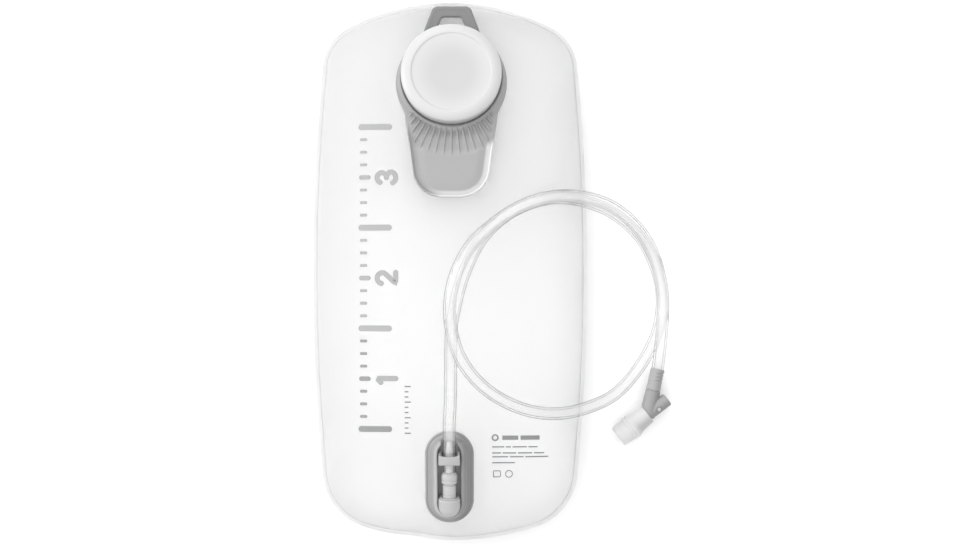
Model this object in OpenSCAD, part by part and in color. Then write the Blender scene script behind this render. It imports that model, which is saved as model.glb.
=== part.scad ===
/* [Bag] */
// Width of the reservoir over its welded edge
bag_w = 208; // [190:1:225]
// Length of the reservoir over its welded edge
bag_l = 408; // [390:1:425]
// Height of the filled reservoir lying on its back
bag_h = 62; // [60:1:64]
// Height of the weld seam above the floor
seam_z = 26; // [24:1:28]
// Thickness of each film
film_t = 0.8; // [0.6:0.1:1]

/* [Neck and cap] */
// Bore of the filling mouth
mouth_d = 62; // [60:0.5:62]
// Outside diameter of the screw cap
cap_d = 75.2; // [75:0.1:77]
// Rise of the cap for one full turn
thread_lead = 6; // [5.5:0.5:6.5]
// Lean of the neck towards the top of the reservoir
neck_tilt = 12; // [10:1:13]

/* [Port] */
// Length of the port's weld plate
port_l = 71.6; // [68:0.2:74]
// Width of the port's weld plate
port_w = 36.4; // [34:0.2:38]
// Diameter of the plug's nose
nose_d = 10.2; // [10:0.1:10.4]
// Travel of the release button
button_travel = 1.5; // [1:0.1:1.5]

/* [Hose] */
// Outside diameter of the hose
hose_d = 9.5; // [9:0.1:9.5]
// Bore of the hose
hose_bore = 6.35; // [6.2:0.05:6.5]

/* [Bite valve] */
// Diameter of the elbow's stem
stem_d = 11.6; // [11:0.1:12]
// Diameter of the shut-off barrel
barrel_d = 10.4; // [10.2:0.1:11]
// Widest diameter of the soft bite sheath
bite_d = 19.8; // [18:0.1:20]

/* [Hidden] */
$fn = 96;
eps = 0.01;

// Outline of the reservoir: a side arc, two end arcs and corner arcs tangent to both.
side_r = 1600;
top_r = 165;
bottom_r = 215;
top_corner_r = 37;
bottom_corner_r = 46;
side_c = [bag_w / 2 - side_r, 0];
top_c = [0, bag_l / 2 - top_r];
bottom_c = [0, bottom_r - bag_l / 2];

// Crossing point of two circles, on the left (1) or right (-1) of the line from a to b.
function meet(a, ra, b, rb, side) = let(
    d = norm(b - a), t = (ra * ra - rb * rb + d * d) / (2 * d),
    h = sqrt(ra * ra - t * t), u = (b - a) / d)
    a + u * t + [-u[1], u[0]] * h * side;
function heading(a, b) = atan2(b[1] - a[1], b[0] - a[0]);
function arc(c, r, a0, a1, n) = [for (i = [0:n - 1]) let(a = a0 + (a1 - a0) * i / n)
    c + r * [cos(a), sin(a)]];

top_k = meet(side_c, side_r - top_corner_r, top_c, top_r - top_corner_r, 1);
bottom_k = meet(side_c, side_r - bottom_corner_r, bottom_c, bottom_r - bottom_corner_r, -1);
right_half = concat(
    arc(bottom_c, bottom_r, -90, heading(bottom_c, bottom_k), 5),
    arc(bottom_k, bottom_corner_r, heading(bottom_c, bottom_k), heading(side_c, bottom_k), 6),
    arc(side_c, side_r, heading(side_c, bottom_k), heading(side_c, top_k), 12),
    arc(top_k, top_corner_r, heading(side_c, top_k), heading(top_c, top_k), 6),
    arc(top_c, top_r, heading(top_c, top_k), 90, 5));
outline = concat(right_half, [[0, bag_l / 2]],
    [for (i = [len(right_half) - 1:-1:1]) [-right_half[i][0], right_half[i][1]]]);
sides = len(outline);

// Sections of the two films: the weld edge keeps its width, and inside it every ring is the
// outline scaled towards the middle.
seam_w = 2.8;
flat_s = 0.6;
function edge_reach(i) = let(a = outline[(i + sides - 1) % sides], b = outline[(i + 1) % sides],
    t = (b - a) / norm(b - a)) outline[i] * [t[1], -t[0]];
reach = [for (i = [0:sides - 1]) edge_reach(i)];
function ring_xy(i, cut, s) = outline[i] * (1 - cut / reach[i]) * s;
dome_h = bag_h - seam_z - film_t;
sweep_a = [6, 14, 24, 34, 45, 56, 67, 78];

// Lands where the neck and the port are welded on: each is a tilted plane through its centre.
neck_x = 1.5;
neck_y = 144.7;
neck_z = 51;
port_y = -153.8;
port_z = 49.5;
port_tilt = 12;
head_y = -3.7;
weld_gap = 0.02;
function ease(t) = let(c = min(1, max(0, t))) c * c * (3 - 2 * c);
function neck_w(p) = ease((47 - norm(p - [neck_x, neck_y + head_y])) / 5);
function port_w_at(p) = let(e = max(0, abs(p[1] - port_y) - 17.6)) ease((31 - norm([p[0], e])) / 11);
function neck_plane(p) = neck_z - tan(neck_tilt) * (p[1] - neck_y) - weld_gap;
function port_plane(p) = port_z + tan(port_tilt) * (p[1] - port_y) - weld_gap;
function landed(p, z, drop) = let(a = neck_w(p), b = port_w_at(p))
    z * (1 - a) * (1 - b) + (neck_plane(p) - drop) * a + (port_plane(p) - drop) * b;

module in_neck() { translate([neck_x, neck_y, neck_z]) rotate([-neck_tilt, 0, 0]) children(); }
module in_port() { translate([0, port_y, port_z]) rotate([port_tilt, 0, 0]) children(); }

// A closed skin from rings of points, each ring with the same count, ended by two fans.
function skin_faces(rings, n) = concat(
    [for (r = [0:rings - 2], i = [0:n - 1]) let(a = r * n + i, b = r * n + (i + 1) % n)
        each [[a, b, a + n], [b, b + n, a + n]]],
    [for (i = [0:n - 1]) [(i + 1) % n, i, rings * n]],
    [for (i = [0:n - 1]) let(e = (rings - 1) * n) [e + i, e + (i + 1) % n, rings * n + 1]]);

// Each row of a film is [inset from the edge, scale, height, depth below the outer face].
module front_film() {
    inner = concat([for (a = [78, 67, 56, 45, 34, 24, 14, 6])
        [seam_w + film_t, cos(a), seam_z + dome_h * sin(a), film_t]], [[seam_w + film_t, 1, seam_z, 0]]);
    outer = concat([[0, 1, seam_z, 0], [0, 1, seam_z + film_t, 0], [seam_w, 1, seam_z + film_t, 0]],
        [for (a = sweep_a) [seam_w, cos(a), seam_z + film_t + dome_h * sin(a), 0]]);
    rows = concat(inner, outer);
    points = concat([for (r = rows, i = [0:sides - 1]) let(q = ring_xy(i, r[0], r[1]))
        [q[0], q[1], r[2] > seam_z + film_t + 1 ? landed(q, r[2], r[3]) : r[2]]],
        [[0, 0, bag_h - film_t], [0, 0, bag_h]]);
    polyhedron(points, [for (f = skin_faces(len(rows), sides)) [f[0], f[2], f[1]]]);
}

module back_film() {
    drop = seam_z - film_t;
    function bulge(a) = flat_s + (1 - flat_s) * cos(a);
    inner = concat([[0, 0.3, film_t], [seam_w + film_t, flat_s, film_t]],
        [for (a = [78, 67, 56, 45, 34, 24, 14, 6]) [seam_w + film_t, bulge(a), seam_z - drop * sin(a)]],
        [[seam_w + film_t, 1, seam_z]]);
    outer = concat([[0, 1, seam_z], [0, 1, drop], [seam_w, 1, drop]],
        [for (a = sweep_a) [seam_w, bulge(a), drop - drop * sin(a)]],
        [[seam_w, flat_s, 0], [0, 0.3, 0]]);
    rows = concat(inner, outer);
    points = concat([for (r = rows, i = [0:sides - 1]) let(q = ring_xy(i, r[0], r[1])) [q[0], q[1], r[2]]],
        [[0, 0, film_t], [0, 0, 0]]);
    polyhedron(points, skin_faces(len(rows), sides));
}

module bag_back_film() { color("gainsboro") back_film(); }

module bag_front_film() {
    color("whitesmoke") resize([bag_w, 0, 0]) difference() {
        front_film();
        in_neck() translate([0, 0, -12]) cylinder(r = neck_root_r + 0.15, h = 24);
        in_port() translate([0, inlet_u, -8]) cylinder(r = inlet_r + 0.15, h = 16);
    }
}

// Handle: weld flange, raised collar, grip tongue with a rim and ribs, and hang loop.
head_r = 41.6;
plate_t = 2.4;
collar_h = 4.6;
tongue_corner_r = 22;
tongue_half = 28.5;
tongue_end_u = -92.4;
rim_w = 2.6;
rim_h = 5.2;
module tongue_2d(inset) {
    side = [[36.4, -26], [33.2, -41], [31.6, -49], [30.4, -56.5], [29.4, -64], [tongue_half, -70.4]];
    translate([0, head_y]) circle(r = head_r - inset);
    polygon(concat([for (p = side) [inset - p[0], p[1]]],
        [for (i = [len(side) - 1:-1:0]) [side[i][0] - inset, side[i][1]]]));
    for (x = [-1, 1]) translate([x * (tongue_half - tongue_corner_r), tongue_end_u + tongue_corner_r])
        circle(r = tongue_corner_r - inset);
    translate([tongue_corner_r - tongue_half, tongue_end_u + inset])
        square([2 * (tongue_half - tongue_corner_r), tongue_corner_r]);
}
rib_count = 17;
rib_pitch = 5.8;
module tongue_ribs() {
    intersection() {
        linear_extrude(collar_h) tongue_2d(0.6);
        for (i = [0:rib_count - 1]) rotate([0, 0, -90 + (i - (rib_count - 1) / 2) * rib_pitch])
            rotate([90, 0, 0]) translate([0, 0, -0.7]) linear_extrude(1.4)
                polygon([[38.4, 1], [52, 1], [52, plate_t + 0.3], [44, collar_h - 0.6],
                    [38.4, collar_h - 0.4]]);
    }
}
loop_half = 20.7;
loop_top_u = 55.6;
loop_corner_r = 4.5;
module loop_2d() {
    polygon([[-loop_half - 1.5, 33], [-13.4, 51], [13.4, 51], [loop_half + 1.5, 33]]);
    for (x = [-1, 1]) translate([x * 9.6, loop_top_u - loop_corner_r]) circle(r = loop_corner_r);
    translate([-9.6, loop_top_u - 2 * loop_corner_r]) square([19.2, 2 * loop_corner_r]);
}
module handle_flange() {
    color("darkgray") in_neck() difference() {
        union() {
            linear_extrude(plate_t) tongue_2d(0);
            linear_extrude(rim_h) difference() {
                tongue_2d(0);
                tongue_2d(rim_w);
                translate([-50, -38]) square([100, 90]);
            }
            cylinder(r1 = 40.6, r2 = 38.6, h = collar_h);
            tongue_ribs();
            translate([0, 0, 1.4]) linear_extrude(3) loop_2d();
        }
        translate([0, 0, -1]) cylinder(r = neck_root_r + 0.03, h = 10);
        translate([0, 0, -1]) linear_extrude(8)
            polygon([[-10.4, 39.4], [-7.2, 47], [7.2, 47], [10.4, 39.4]]);
    }
}

// Threaded neck with a lip inside the reservoir, and the cap that screws down on it.
neck_root_r = mouth_d / 2 + 2.4;
neck_top = 14.5;
thread_h = 1.2;
cap_in_r = neck_root_r + 1.6;
cap_low = 4.8;
gasket_t = 1.6;
cap_under = neck_top + gasket_t;
cap_top = cap_under + 2.8;
thread_seg = 15;

// Thread ridge: a trapezoid that follows a helix and fades in and out at its ends.
function ridge_ring(a, z, foot, crest) = [for (q = [[foot, -1.3], [crest, -0.6], [crest, 0.6], [foot, 1.3]])
    [q[0] * cos(a), q[0] * sin(a), z + q[1]]];
module ridge(foot, crest, z0, a0, a1) {
    n = round((a1 - a0) / thread_seg);
    rings = [for (i = [0:n]) let(a = a0 + (a1 - a0) * i / n, f = ease(min(i, n - i) / 2))
        ridge_ring(a, z0 + thread_lead * a / 360, foot, foot + (crest - foot) * (0.1 + 0.9 * f))];
    turn = crest > foot ? [0, 1, 2] : [0, 2, 1];
    faces = concat([for (r = [0:n - 1], i = [0:3]) let(p = r * 4 + i, q = r * 4 + (i + 1) % 4)
        each [[p, q, p + 4], [q, q + 4, p + 4]]],
        [[0, 2, 1], [0, 3, 2], [4 * n, 4 * n + 1, 4 * n + 2], [4 * n, 4 * n + 2, 4 * n + 3]]);
    polyhedron([for (r = rings) each r], [for (f = faces) [for (k = turn) f[k]]]);
}
thread_z0 = 5.6;

module neck_ring() {
    color("lightgray") in_neck() {
        rotate_extrude() polygon([[mouth_d / 2, -4], [neck_root_r + 3.6, -4], [neck_root_r + 4, -3.6],
            [neck_root_r + 4, -1.6], [neck_root_r, -1.4], [neck_root_r, neck_top - 0.6],
            [neck_root_r - 0.6, neck_top], [mouth_d / 2 + 0.6, neck_top], [mouth_d / 2, neck_top - 0.6]]);
        ridge(neck_root_r - 0.4, neck_root_r + thread_h, thread_z0, 0, 420);
    }
}

module cap_gasket() {
    color("silver") in_neck() rotate_extrude() polygon([[mouth_d / 2 - 0.4, neck_top + 0.05],
        [cap_in_r - 0.25, neck_top + 0.05], [cap_in_r - 0.25, cap_under - 0.05],
        [mouth_d / 2 - 0.4, cap_under - 0.05]]);
}

module cap_shell() {
    r = cap_d / 2;
    edge = concat([[cap_in_r, cap_low], [r - 0.9, cap_low], [r - 0.5, cap_low + 0.5], [r, cap_top - 4]],
        [for (a = [0:15:90]) [r - 6.6 + 6.6 * cos(a) * (1 - 0.25 * sin(a)), cap_top - 3.2 + 3.2 * sin(a)]],
        [[r - 8.1, cap_top - 0.7], [r - 9.2, cap_top - 0.9], [0, cap_top - 0.9], [0, cap_under],
            [cap_in_r, cap_under]]);
    color("whitesmoke") in_neck() {
        rotate_extrude() polygon(edge);
        ridge(cap_in_r + 0.4, neck_root_r + 0.35, thread_z0 - thread_lead / 2, 240, 540);
    }
}

// Port: weld plate with a banked pocket, valve socket, inlet, latch button and leaf spring.
plug_h = 7.6;
pocket_r = 9.7;
pocket_mid = 1.1;
pocket_half = 19.4;
trough_r = 6.4;
bank_low_r = port_w / 2 - 2.6;
bank_top_r = 11.6;
bank_top = 10;
end_u = (port_l - port_w) / 2;
floor_z = 0.9;
block_u = -14.1;
nose_r = nose_d / 2;
nose_tip_u = -20.7;
inlet_u = -26;
inlet_r = 4.6;
module stadium(r, half, h) {
    for (y = [-half, half]) translate([0, y, 0]) cylinder(r = r, h = h);
    translate([-r, -half, 0]) cube([2 * r, 2 * half, h]);
}
module along_plug(u) { translate([0, u, plug_h]) rotate([-90, 0, 0]) children(); }

module port_base() {
    color("silver") in_port() difference() {
        union() {
            stadium(port_w / 2, end_u, 1.6);
            translate([0, 0, 1.6 - eps]) {
                for (y = [-end_u, end_u]) translate([0, y, 0])
                    cylinder(r1 = bank_low_r, r2 = bank_top_r, h = bank_top - 1.6);
                translate([0, end_u, 0]) rotate([90, 0, 0]) linear_extrude(2 * end_u)
                    polygon([[-bank_low_r, 0], [bank_low_r, 0], [bank_top_r, bank_top - 1.6],
                        [-bank_top_r, bank_top - 1.6]]);
            }
        }
        translate([0, pocket_mid, floor_z]) stadium(pocket_r, pocket_half, 20);
        along_plug(20) cylinder(r = trough_r, h = 30);
        translate([-trough_r, 20, plug_h]) cube([2 * trough_r, 30, 20]);
        translate([0, inlet_u, -1]) cylinder(r = inlet_r + 0.03, h = 10);
    }
}

module port_socket() {
    color("gainsboro") in_port() difference() {
        intersection() {
            union() {
                along_plug(-30) cylinder(r = 8.8, h = block_u + 30);
                translate([-pocket_r, -30, floor_z]) cube([2 * pocket_r, block_u + 30, plug_h + 2]);
            }
            translate([0, pocket_mid, floor_z + 0.02]) stadium(pocket_r - 0.03, pocket_half, 30);
        }
        along_plug(nose_tip_u - 0.2) cylinder(r = nose_r + 0.08, h = 20);
        along_plug(-22) cylinder(r = 3, h = 5);
        along_plug(-27.4) cylinder(r = 4.4, h = 5.6);
        translate([0, inlet_u, floor_z - 1]) cylinder(r = inlet_r + 0.03, h = 2.6);
        translate([0, inlet_u, 2]) cylinder(r = 1.4, h = plug_h - 2);
    }
}

module port_inlet() {
    color("lightgray") in_port() translate([0, inlet_u, 0]) difference() {
        union() {
            translate([0, 0, -7]) cylinder(r = inlet_r, h = 7 + floor_z + 1.5);
            translate([0, 0, -3.6]) cylinder(r = 9, h = 1.6);
        }
        translate([0, 0, -8]) cylinder(r = 3.2, h = 14);
        for (a = [0, 90]) rotate([0, 0, a]) translate([-6, -1, -8]) cube([12, 2, 2.6]);
    }
}

// Latch button: a pad over the hose on two legs, whose hooks stand behind the plug's collar.
button_u = 13.1;
button_l = 7.7;
pad_under = plug_h + 6 + 0.4 + button_travel;
module release_button() {
    color("gainsboro") in_port() translate([0, button_u + button_l, 0]) rotate([90, 0, 0])
        linear_extrude(button_l) difference() {
            intersection() {
                translate([-7.9, 2.7]) square([15.8, 16]);
                translate([0, pad_under + 1.9 - 22]) circle(r = 22);
            }
            translate([0, plug_h]) circle(r = 6.4);
            translate([-6.4, plug_h]) square([12.8, pad_under - plug_h]);
            translate([-5.6, 0]) square([11.2, plug_h]);
        }
}
module button_spring() {
    color("silver") in_port() translate([0, button_u + button_l - 1.5, 0]) rotate([90, 0, 0])
        linear_extrude(button_l - 3) intersection() {
            difference() {
                translate([0, floor_z + 0.1 + 19.8]) circle(r = 19.8, $fn = 180);
                translate([0, floor_z + 0.1 + 19.8]) circle(r = 19.4, $fn = 180);
            }
            translate([-7.6, 0]) square([15.2, 2.62]);
        }
}

module shutoff_poppet() {
    color("white") in_port() {
        along_plug(-24.6) cylinder(r = 3.7, h = 1.4);
        along_plug(-23.4) for (a = [0, 90]) rotate([0, 0, a])
            translate([-2.7, -0.4, 0]) cube([5.4, 0.8, 23.4 + nose_tip_u - 0.1]);
        along_plug(-25.6) cylinder(r = 1.1, h = 1.2);
    }
}

// Coil spring: a wire swept along a helix about the plug's axis.
function coil_ring(a, r, z, wire) = [for (k = [0:5]) let(b = k * 60)
    [(r + wire * cos(b)) * cos(a), (r + wire * cos(b)) * sin(a), z + wire * sin(b)]];
module poppet_spring() {
    turns = 2.5;
    n = 30;
    rings = [for (i = [0:n]) coil_ring(i * turns * 360 / n, 2.4, 0.3 + 1.9 * i / n, 0.28)];
    faces = concat([for (r = [0:n - 1], i = [0:5]) let(p = r * 6 + i, q = r * 6 + (i + 1) % 6)
        each [[p, q, p + 6], [q, q + 6, p + 6]]],
        [for (i = [1:4]) [0, i + 1, i]], [for (i = [1:4]) [6 * n, 6 * n + i, 6 * n + i + 1]]);
    color("silver") in_port() along_plug(-27.35) polyhedron([for (r = rings) each r],
        [for (f = faces) [f[0], f[2], f[1]]]);
}

// Plug: nose with a seal groove, collar and hose barb on one axis.
collar_r = 6;
module plug_body() {
    color("gainsboro") in_port() along_plug(0) rotate_extrude() polygon([
        [2.2, nose_tip_u + 0.02], [nose_r - 0.5, nose_tip_u + 0.02], [nose_r, nose_tip_u + 0.5],
        [nose_r, -18.6], [3.7, -18.6], [3.7, -16.2], [nose_r, -16.2], [nose_r, -4], [4.4, -3.6], [4.4, -2.9],
        [collar_r - 0.6, -2.8], [collar_r, -2.2], [collar_r, 3.6], [collar_r - 0.8, 5.2], [3.2, 5.8],
        [2.7, 5.8], [2.7, 9], [3, 9.4], [2.5, 12], [3, 12.4], [2.5, 15], [3, 15.4], [2.5, 18],
        [2.5, 20.4], [3, 20.9], [1.5, 29], [1.1, 29.2], [1.1, 26], [2.2, 18]]);
}
module plug_oring() {
    color("dimgray") in_port() along_plug(-17.4) rotate_extrude()
        translate([4.42, 0]) circle(r = 0.7, $fn = 24);
}

// Hose route: from the plug, over the reservoir, one and a half turns, down to the bite valve.
hose_route = [[0, -149.5, 58.2], [0, -132, 61.9], [0, -114, 65.3], [1, -93, 66.7], [1.5, -46, 66.4],
    [4, -28, 66.8], [11, -2, 67], [24, 24, 66.2], [43, 42, 64], [64, 52, 60.5], [83, 55, 55],
    [104, 52, 46], [125, 43, 36.5], [143, 28, 24], [155, 9, 12.5], [162.2, -16, 5.8], [159.8, -44, 5.2],
    [147, -70.5, 7.2], [127, -92.5, 21], [105, -102.5, 37.5], [83, -106.5, 50.5], [62, -104.5, 59.5],
    [42, -97, 65.5], [24, -84.5, 70.5], [10, -67, 74.5], [2.5, -47, 76.4], [0.5, -24, 76.8],
    [5, -2, 76.8], [15.5, 18, 76.2], [31, 33.5, 75.2], [51, 47, 72.8], [74, 55, 68.2], [98, 55.5, 60],
    [121, 49, 50], [141, 33.5, 38.2], [154.5, 13, 25.6], [162, -14, 16.2], [162.2, -40, 15.9],
    [159, -74.8, 10.2], [155.5, -90.4, 10.2]];
hose_sides = 10;
function smooth4(a, b, c, d, t) = (2 * b + (c - a) * t + (2 * a - 5 * b + 4 * c - d) * t * t
    + (3 * b - a - 3 * c + d) * t * t * t) / 2;
last_p = len(hose_route) - 1;
hose_line = concat([for (i = [0:last_p - 1], t = [0, 0.5])
    smooth4(hose_route[max(0, i - 1)], hose_route[i], hose_route[i + 1],
        hose_route[min(last_p, i + 2)], t)], [hose_route[last_p]]);
function unit(v) = v / norm(v);
function hose_ring(i, r) = let(
    n = len(hose_line) - 1,
    t = unit(hose_line[min(n, i + 1)] - hose_line[max(0, i - 1)]),
    s = unit(cross(t, [0, 0, 1])), u = cross(s, t))
    [for (k = [0:hose_sides - 1]) let(a = 360 * k / hose_sides)
        hose_line[i] + r * (s * cos(a) + u * sin(a))];

module hose() {
    n = len(hose_line);
    m = hose_sides;
    points = [for (i = [0:n - 1]) each concat(hose_ring(i, hose_d / 2), hose_ring(i, hose_bore / 2))];
    walls = [for (i = [0:n - 2], k = [0:m - 1]) let(a = 2 * m * i + k, b = 2 * m * i + (k + 1) % m, w = 2 * m)
        each [[a, b, a + w], [b, b + w, a + w],
            [a + m, a + m + w, b + m], [b + m, a + m + w, b + m + w]]];
    ends = [for (k = [0:m - 1]) let(j = (k + 1) % m, e = 2 * m * (n - 1))
        each [[k, k + m, j], [j, k + m, j + m], [e + k, e + j, e + k + m], [e + j, e + j + m, e + k + m]]];
    color("white") polyhedron(points, concat(walls, ends));
}

// Bite valve: everything lies level at the height where the sheath touches the floor.
valve_z = 10.2;
stem_start = [155.4, -90.9, valve_z];
stem_a = 257.4;
stem_l = 19.1;
barrel_a = 217.5;
valve_c = stem_start + stem_l * [cos(stem_a), sin(stem_a), 0];
module along_stem(t) {
    translate(stem_start) rotate([0, 0, stem_a]) rotate([0, 90, 0]) translate([0, 0, t]) children();
}
module along_barrel(t) {
    translate(valve_c) rotate([0, 0, barrel_a]) rotate([0, 90, 0]) translate([0, 0, t]) children();
}

module hose_sleeve() {
    color("silver") along_stem(-0.1) rotate_extrude() polygon([[4.8, -16.4], [5.1, -16.4], [5.3, -15.8],
        [5.3, -13.2], [4.95, -13], [4.95, -12.2], [5.3, -12], [5.3, -10.4], [4.95, -10.2], [4.95, -9.4],
        [5.3, -9.2], [5.3, -7.6], [4.95, -7.4], [4.95, -6.6], [5.3, -6.4], [5.5, -2.4], [5.6, 0], [4.8, 0]]);
}
module swivel_barb() {
    color("gainsboro") along_stem(0) rotate_extrude() polygon([[1.9, -13.5], [2.4, -13.5], [2.95, -11.5],
        [2.5, -11.4], [2.5, -8], [2.95, -6.5], [2.5, -6.4], [2.5, -0.3], [4.7, -0.3], [4.7, 0.6], [3.6, 0.6],
        [3.6, 2.4], [2.9, 2.4], [2.9, 4.2], [3.6, 4.2], [3.6, 7.4], [3.2, 7.8], [1.9, 7.8]]);
}
module swivel_oring() {
    color("dimgray") along_stem(3.3) rotate_extrude() translate([3.3, 0]) circle(r = 0.36, $fn = 24);
}

barrel_r = barrel_d / 2;
barrel_end = -19.3;
core_r = 3.85;
pin_t = -9.2;
pin_a = 24;
module elbow_body() {
    color("darkgray") difference() {
        intersection() {
            union() {
                along_stem(0.15) cylinder(r = stem_d / 2, h = stem_l + 2);
                along_barrel(barrel_end) rotate_extrude() polygon([[0, 0], [barrel_r - 0.8, 0],
                    [barrel_r, 0.8], [barrel_r, 19.3], [0, 19.3]]);
            }
            along_barrel(-0.5) translate([-30, -30, -60]) cube(60);
        }
        along_stem(0) cylinder(r = 4.85, h = 0.75);
        along_stem(0) cylinder(r = 3.68, h = 8);
        along_stem(7) cylinder(r = 2, h = 9);
        along_barrel(-17.6) cylinder(r = core_r + 0.06, h = 18);
        along_barrel(pin_t) rotate([0, 0, 180 - pin_a]) rotate([0, 90, 0]) cylinder(r = 1.03, h = 12);
        along_barrel(pin_t) rotate([0, 0, 180 - pin_a]) rotate([0, 90, 0]) translate([0, 0, barrel_r - 0.65])
            cylinder(r = 1.53, h = 4);
    }
}
module stop_pin() {
    color("gray") along_barrel(pin_t) rotate([0, 0, 180 - pin_a]) rotate([0, 90, 0]) {
        translate([0, 0, 3.45]) cylinder(r = 1, h = barrel_r - 3.45);
        translate([0, 0, barrel_r - 0.6]) cylinder(r = 1.5, h = 0.7);
    }
}

// The core turns a quarter turn; a slot in it runs past the stop pin, and its side port opens
// to the stem at rest.
spigot_end = 13.6;
module valve_core() {
    color("lightgray") difference() {
        along_barrel(0) rotate_extrude() polygon([[0, -17.3], [core_r - 0.4, -17.3], [core_r, -16.9],
            [core_r, -15.7], [3.1, -15.7], [3.1, -14.3], [core_r, -14.3], [core_r, -2.6], [3.1, -2.6],
            [3.1, -1.2], [core_r, -1.2], [core_r, 0.3], [4.2, 0.5], [4.2, 9.6], [4.8, 10.4], [4.2, 12.4],
            [4, spigot_end], [0, spigot_end]]);
        along_barrel(-9) cylinder(r = 2.1, h = 30);
        along_barrel(-5) rotate([0, 0, -90]) rotate([0, 90, 0]) cylinder(r = 1.9, h = 8);
        along_barrel(pin_t) rotate([0, 0, 180 - pin_a - 110]) rotate_extrude(angle = 130)
            translate([3.3, -1.25]) square([1, 2.5]);
    }
}
module core_orings() {
    color("dimgray") for (t = [-15, -1.9]) along_barrel(t) rotate_extrude()
        translate([3.47, 0]) circle(r = 0.36, $fn = 24);
}
module bite_sheath() {
    r = bite_d / 2;
    color("whitesmoke") difference() {
        along_barrel(0) rotate_extrude() polygon([[4.25, 0.2], [7, 0.2], [7.4, 0.6], [7.9, 6], [8.5, 11.4],
            [9.1, 12.4], [r, 14.4], [r, 15.8], [9.4, 17.2], [8.4, 26.6], [7.9, 27.4], [0, 27.4], [0, 25.8],
            [5.4, 24.6], [5.8, 23], [5.8, 14.4], [4.9, 13.9], [4.9, 10], [4.25, 9.4]]);
        along_barrel(23) translate([-0.25, -4.5, 0]) cube([0.5, 9, 8]);
    }
}

bag_back_film();
bag_front_film();
handle_flange();
neck_ring();
cap_gasket();
cap_shell();
port_base();
port_socket();
port_inlet();
release_button();
button_spring();
shutoff_poppet();
poppet_spring();
plug_body();
plug_oring();
hose();
hose_sleeve();
swivel_barb();
swivel_oring();
elbow_body();
stop_pin();
valve_core();
core_orings();
bite_sheath();
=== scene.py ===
from math import acos, atan2, cos, degrees, exp, pi, radians, sin, sqrt, tan

import bmesh
import bpy
import numpy as np
from mathutils import Matrix, Vector
from mathutils.bvhtree import BVHTree


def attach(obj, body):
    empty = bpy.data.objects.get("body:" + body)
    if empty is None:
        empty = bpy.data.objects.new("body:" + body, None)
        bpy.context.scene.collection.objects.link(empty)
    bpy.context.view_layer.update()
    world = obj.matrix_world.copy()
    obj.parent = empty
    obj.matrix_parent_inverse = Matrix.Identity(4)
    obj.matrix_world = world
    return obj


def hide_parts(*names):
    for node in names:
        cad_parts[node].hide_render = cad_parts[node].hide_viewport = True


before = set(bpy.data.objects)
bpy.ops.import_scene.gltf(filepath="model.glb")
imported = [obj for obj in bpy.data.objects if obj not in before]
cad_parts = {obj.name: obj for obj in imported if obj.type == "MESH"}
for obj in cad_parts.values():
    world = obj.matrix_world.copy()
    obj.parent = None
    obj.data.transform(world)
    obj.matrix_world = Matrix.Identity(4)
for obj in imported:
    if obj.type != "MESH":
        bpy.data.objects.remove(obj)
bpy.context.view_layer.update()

MM = 0.001
TAU = 2 * pi

# ---- camera
scene = bpy.context.scene
cam_data = bpy.data.cameras.new("camera")
cam_data.sensor_width = 36.0
cam_data.lens = 85.91
cam_data.clip_end = 20.0
cam = bpy.data.objects.new("camera", cam_data)
cam.location = (0.0296, -0.0027, 1.8)
scene.collection.objects.link(cam)
scene.camera = cam
scene.view_settings.view_transform = "Standard"


# ---- frames
def shift(x, y, z):
    """A move in millimetres."""
    return Matrix.Translation((x * MM, y * MM, z * MM))


def turn(degrees, axis):
    return Matrix.Rotation(radians(degrees), 4, axis)


def polar(r, degrees):
    a = radians(degrees)
    return r * cos(a), r * sin(a)


def along(origin, angle):
    """Frame whose +Z runs level at that angle from +X, and whose +X points down."""
    return Matrix.Translation(Vector(origin) * MM) @ turn(angle, "Z") @ turn(90, "Y")


# Frames of the tilted fittings, as in the CAD source.
TILT = 12
NECK_X, NECK_Y, NECK_Z = 1.5, 144.7, 51
PORT_Y, PORT_Z = -153.8, 49.5
NECK = shift(NECK_X, NECK_Y, NECK_Z) @ turn(-TILT, "X")
PORT = shift(0, PORT_Y, PORT_Z) @ turn(TILT, "X")
PLUG_H = 7.6
PLUG = PORT @ shift(0, 0, PLUG_H) @ turn(-90, "X")
STEM_START = Vector((155.4, -90.9, 10.2))
STEM_A, STEM_L, BARREL_A = 257.4, 19.1, 217.5
STEM = along(STEM_START, STEM_A)
BARREL = along(STEM_START + STEM_L * Vector((*polar(1, STEM_A), 0)), BARREL_A)


# ---- line tools
def smoothstep(t):
    t = np.clip(t, 0.0, 1.0)
    return t * t * (3 - 2 * t)


def bell(x, centre, width):
    return np.exp(-((x - centre) / width) ** 2)


def run_of(p):
    """Distance along a line of points, at each point."""
    return np.concatenate(([0], np.cumsum(np.linalg.norm(np.diff(p, axis=0), axis=1))))


def evenly(p, n, endpoint=True):
    """A line as n even points in its plane."""
    run = run_of(p)
    t = np.linspace(0, run[-1], n, endpoint=endpoint)
    return np.column_stack((np.interp(t, run, p[:, 0]), np.interp(t, run, p[:, 1])))


def even_loop(loop, n):
    """A closed line as n even points, from its first."""
    loop = np.array([p[:2] for p in loop], float)
    return evenly(np.vstack((loop, loop[:1])), n, endpoint=False)


def resample(loop, n, start_dir):
    """A closed line as n even points, from the one that lies in the given direction from the middle."""
    out = even_loop(loop, n)
    c = out.mean(0)
    a = np.arctan2(out[:, 1] - c[1], out[:, 0] - c[0])
    k = np.argmin(np.abs((a - start_dir + pi) % TAU - pi))
    return np.roll(out, -k, 0)


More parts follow.
